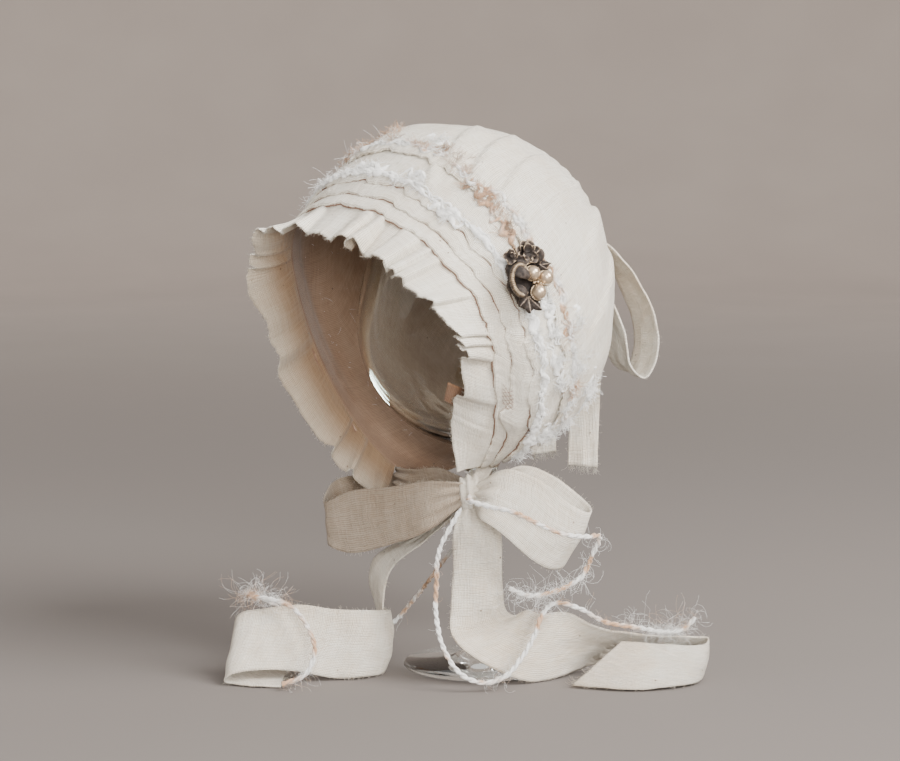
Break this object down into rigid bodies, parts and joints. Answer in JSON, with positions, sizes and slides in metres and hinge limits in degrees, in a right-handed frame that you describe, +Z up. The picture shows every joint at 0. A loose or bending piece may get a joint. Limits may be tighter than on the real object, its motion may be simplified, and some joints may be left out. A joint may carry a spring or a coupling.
{
  "type": "baby bonnet on a stemmed glass stand",
  "caption": "Gathered cloth baby bonnet with frilled front, tucks, wool trims, ribbon ties and a metal flower brooch, held in shape by an upright stemmed balloon glass.",
  "frame": {"origin": "centre of the flat underside of the glass's foot, on the surface that it stands on", "axes": "+Z up along the glass's stem, the bonnet's face opening towards -Y, the wearer's left towards +X"},
  "size_m": [0.1766, 0.1831, 0.2309],
  "materials": {
    "cloth": "matt plain-woven linen-like cotton, off-white",
    "white_wool": "fluffy brushed mohair yarn, white",
    "peach_wool": "fluffy brushed mohair yarn, white twisted with peach",
    "bronze": "antique bronze, dark in the hollows and rubbed brown on the edges",
    "pearl": "glossy champagne pearl",
    "glass": "clear blown glass"
  },
  "bodies": {
    "root": {"glass_stand": "glass", "frill": "cloth", "tuck_front": "cloth", "tuck_back": "cloth", "front_panel": "cloth", "crown": "cloth", "wool_trim_front": "white_wool", "wool_trim_back": "peach_wool", "brooch_plate": "bronze", "brooch_rose": "bronze", "brooch_bud": "bronze", "brooch_petal": "bronze", "brooch_leaf_low": "bronze", "brooch_leaf_side": "bronze", "pearl_top": "pearl", "pearl_side": "pearl", "pearl_low": "pearl", "tie_knot": "cloth", "tie_strap_right": "cloth", "tie_strap_left": "cloth", "tie_loop_left": "cloth", "tie_loop_right": "cloth", "tie_tail_left": "cloth", "tie_tail_right": "cloth", "nape_knot": "cloth", "nape_loop_left": "cloth", "nape_loop_right": "cloth", "nape_tail_left": "cloth", "nape_tail_right": "cloth", "wool_end_loop": "white_wool", "wool_end_left": "white_wool", "wool_end_right": "white_wool"}
  },
  "joints": []
}
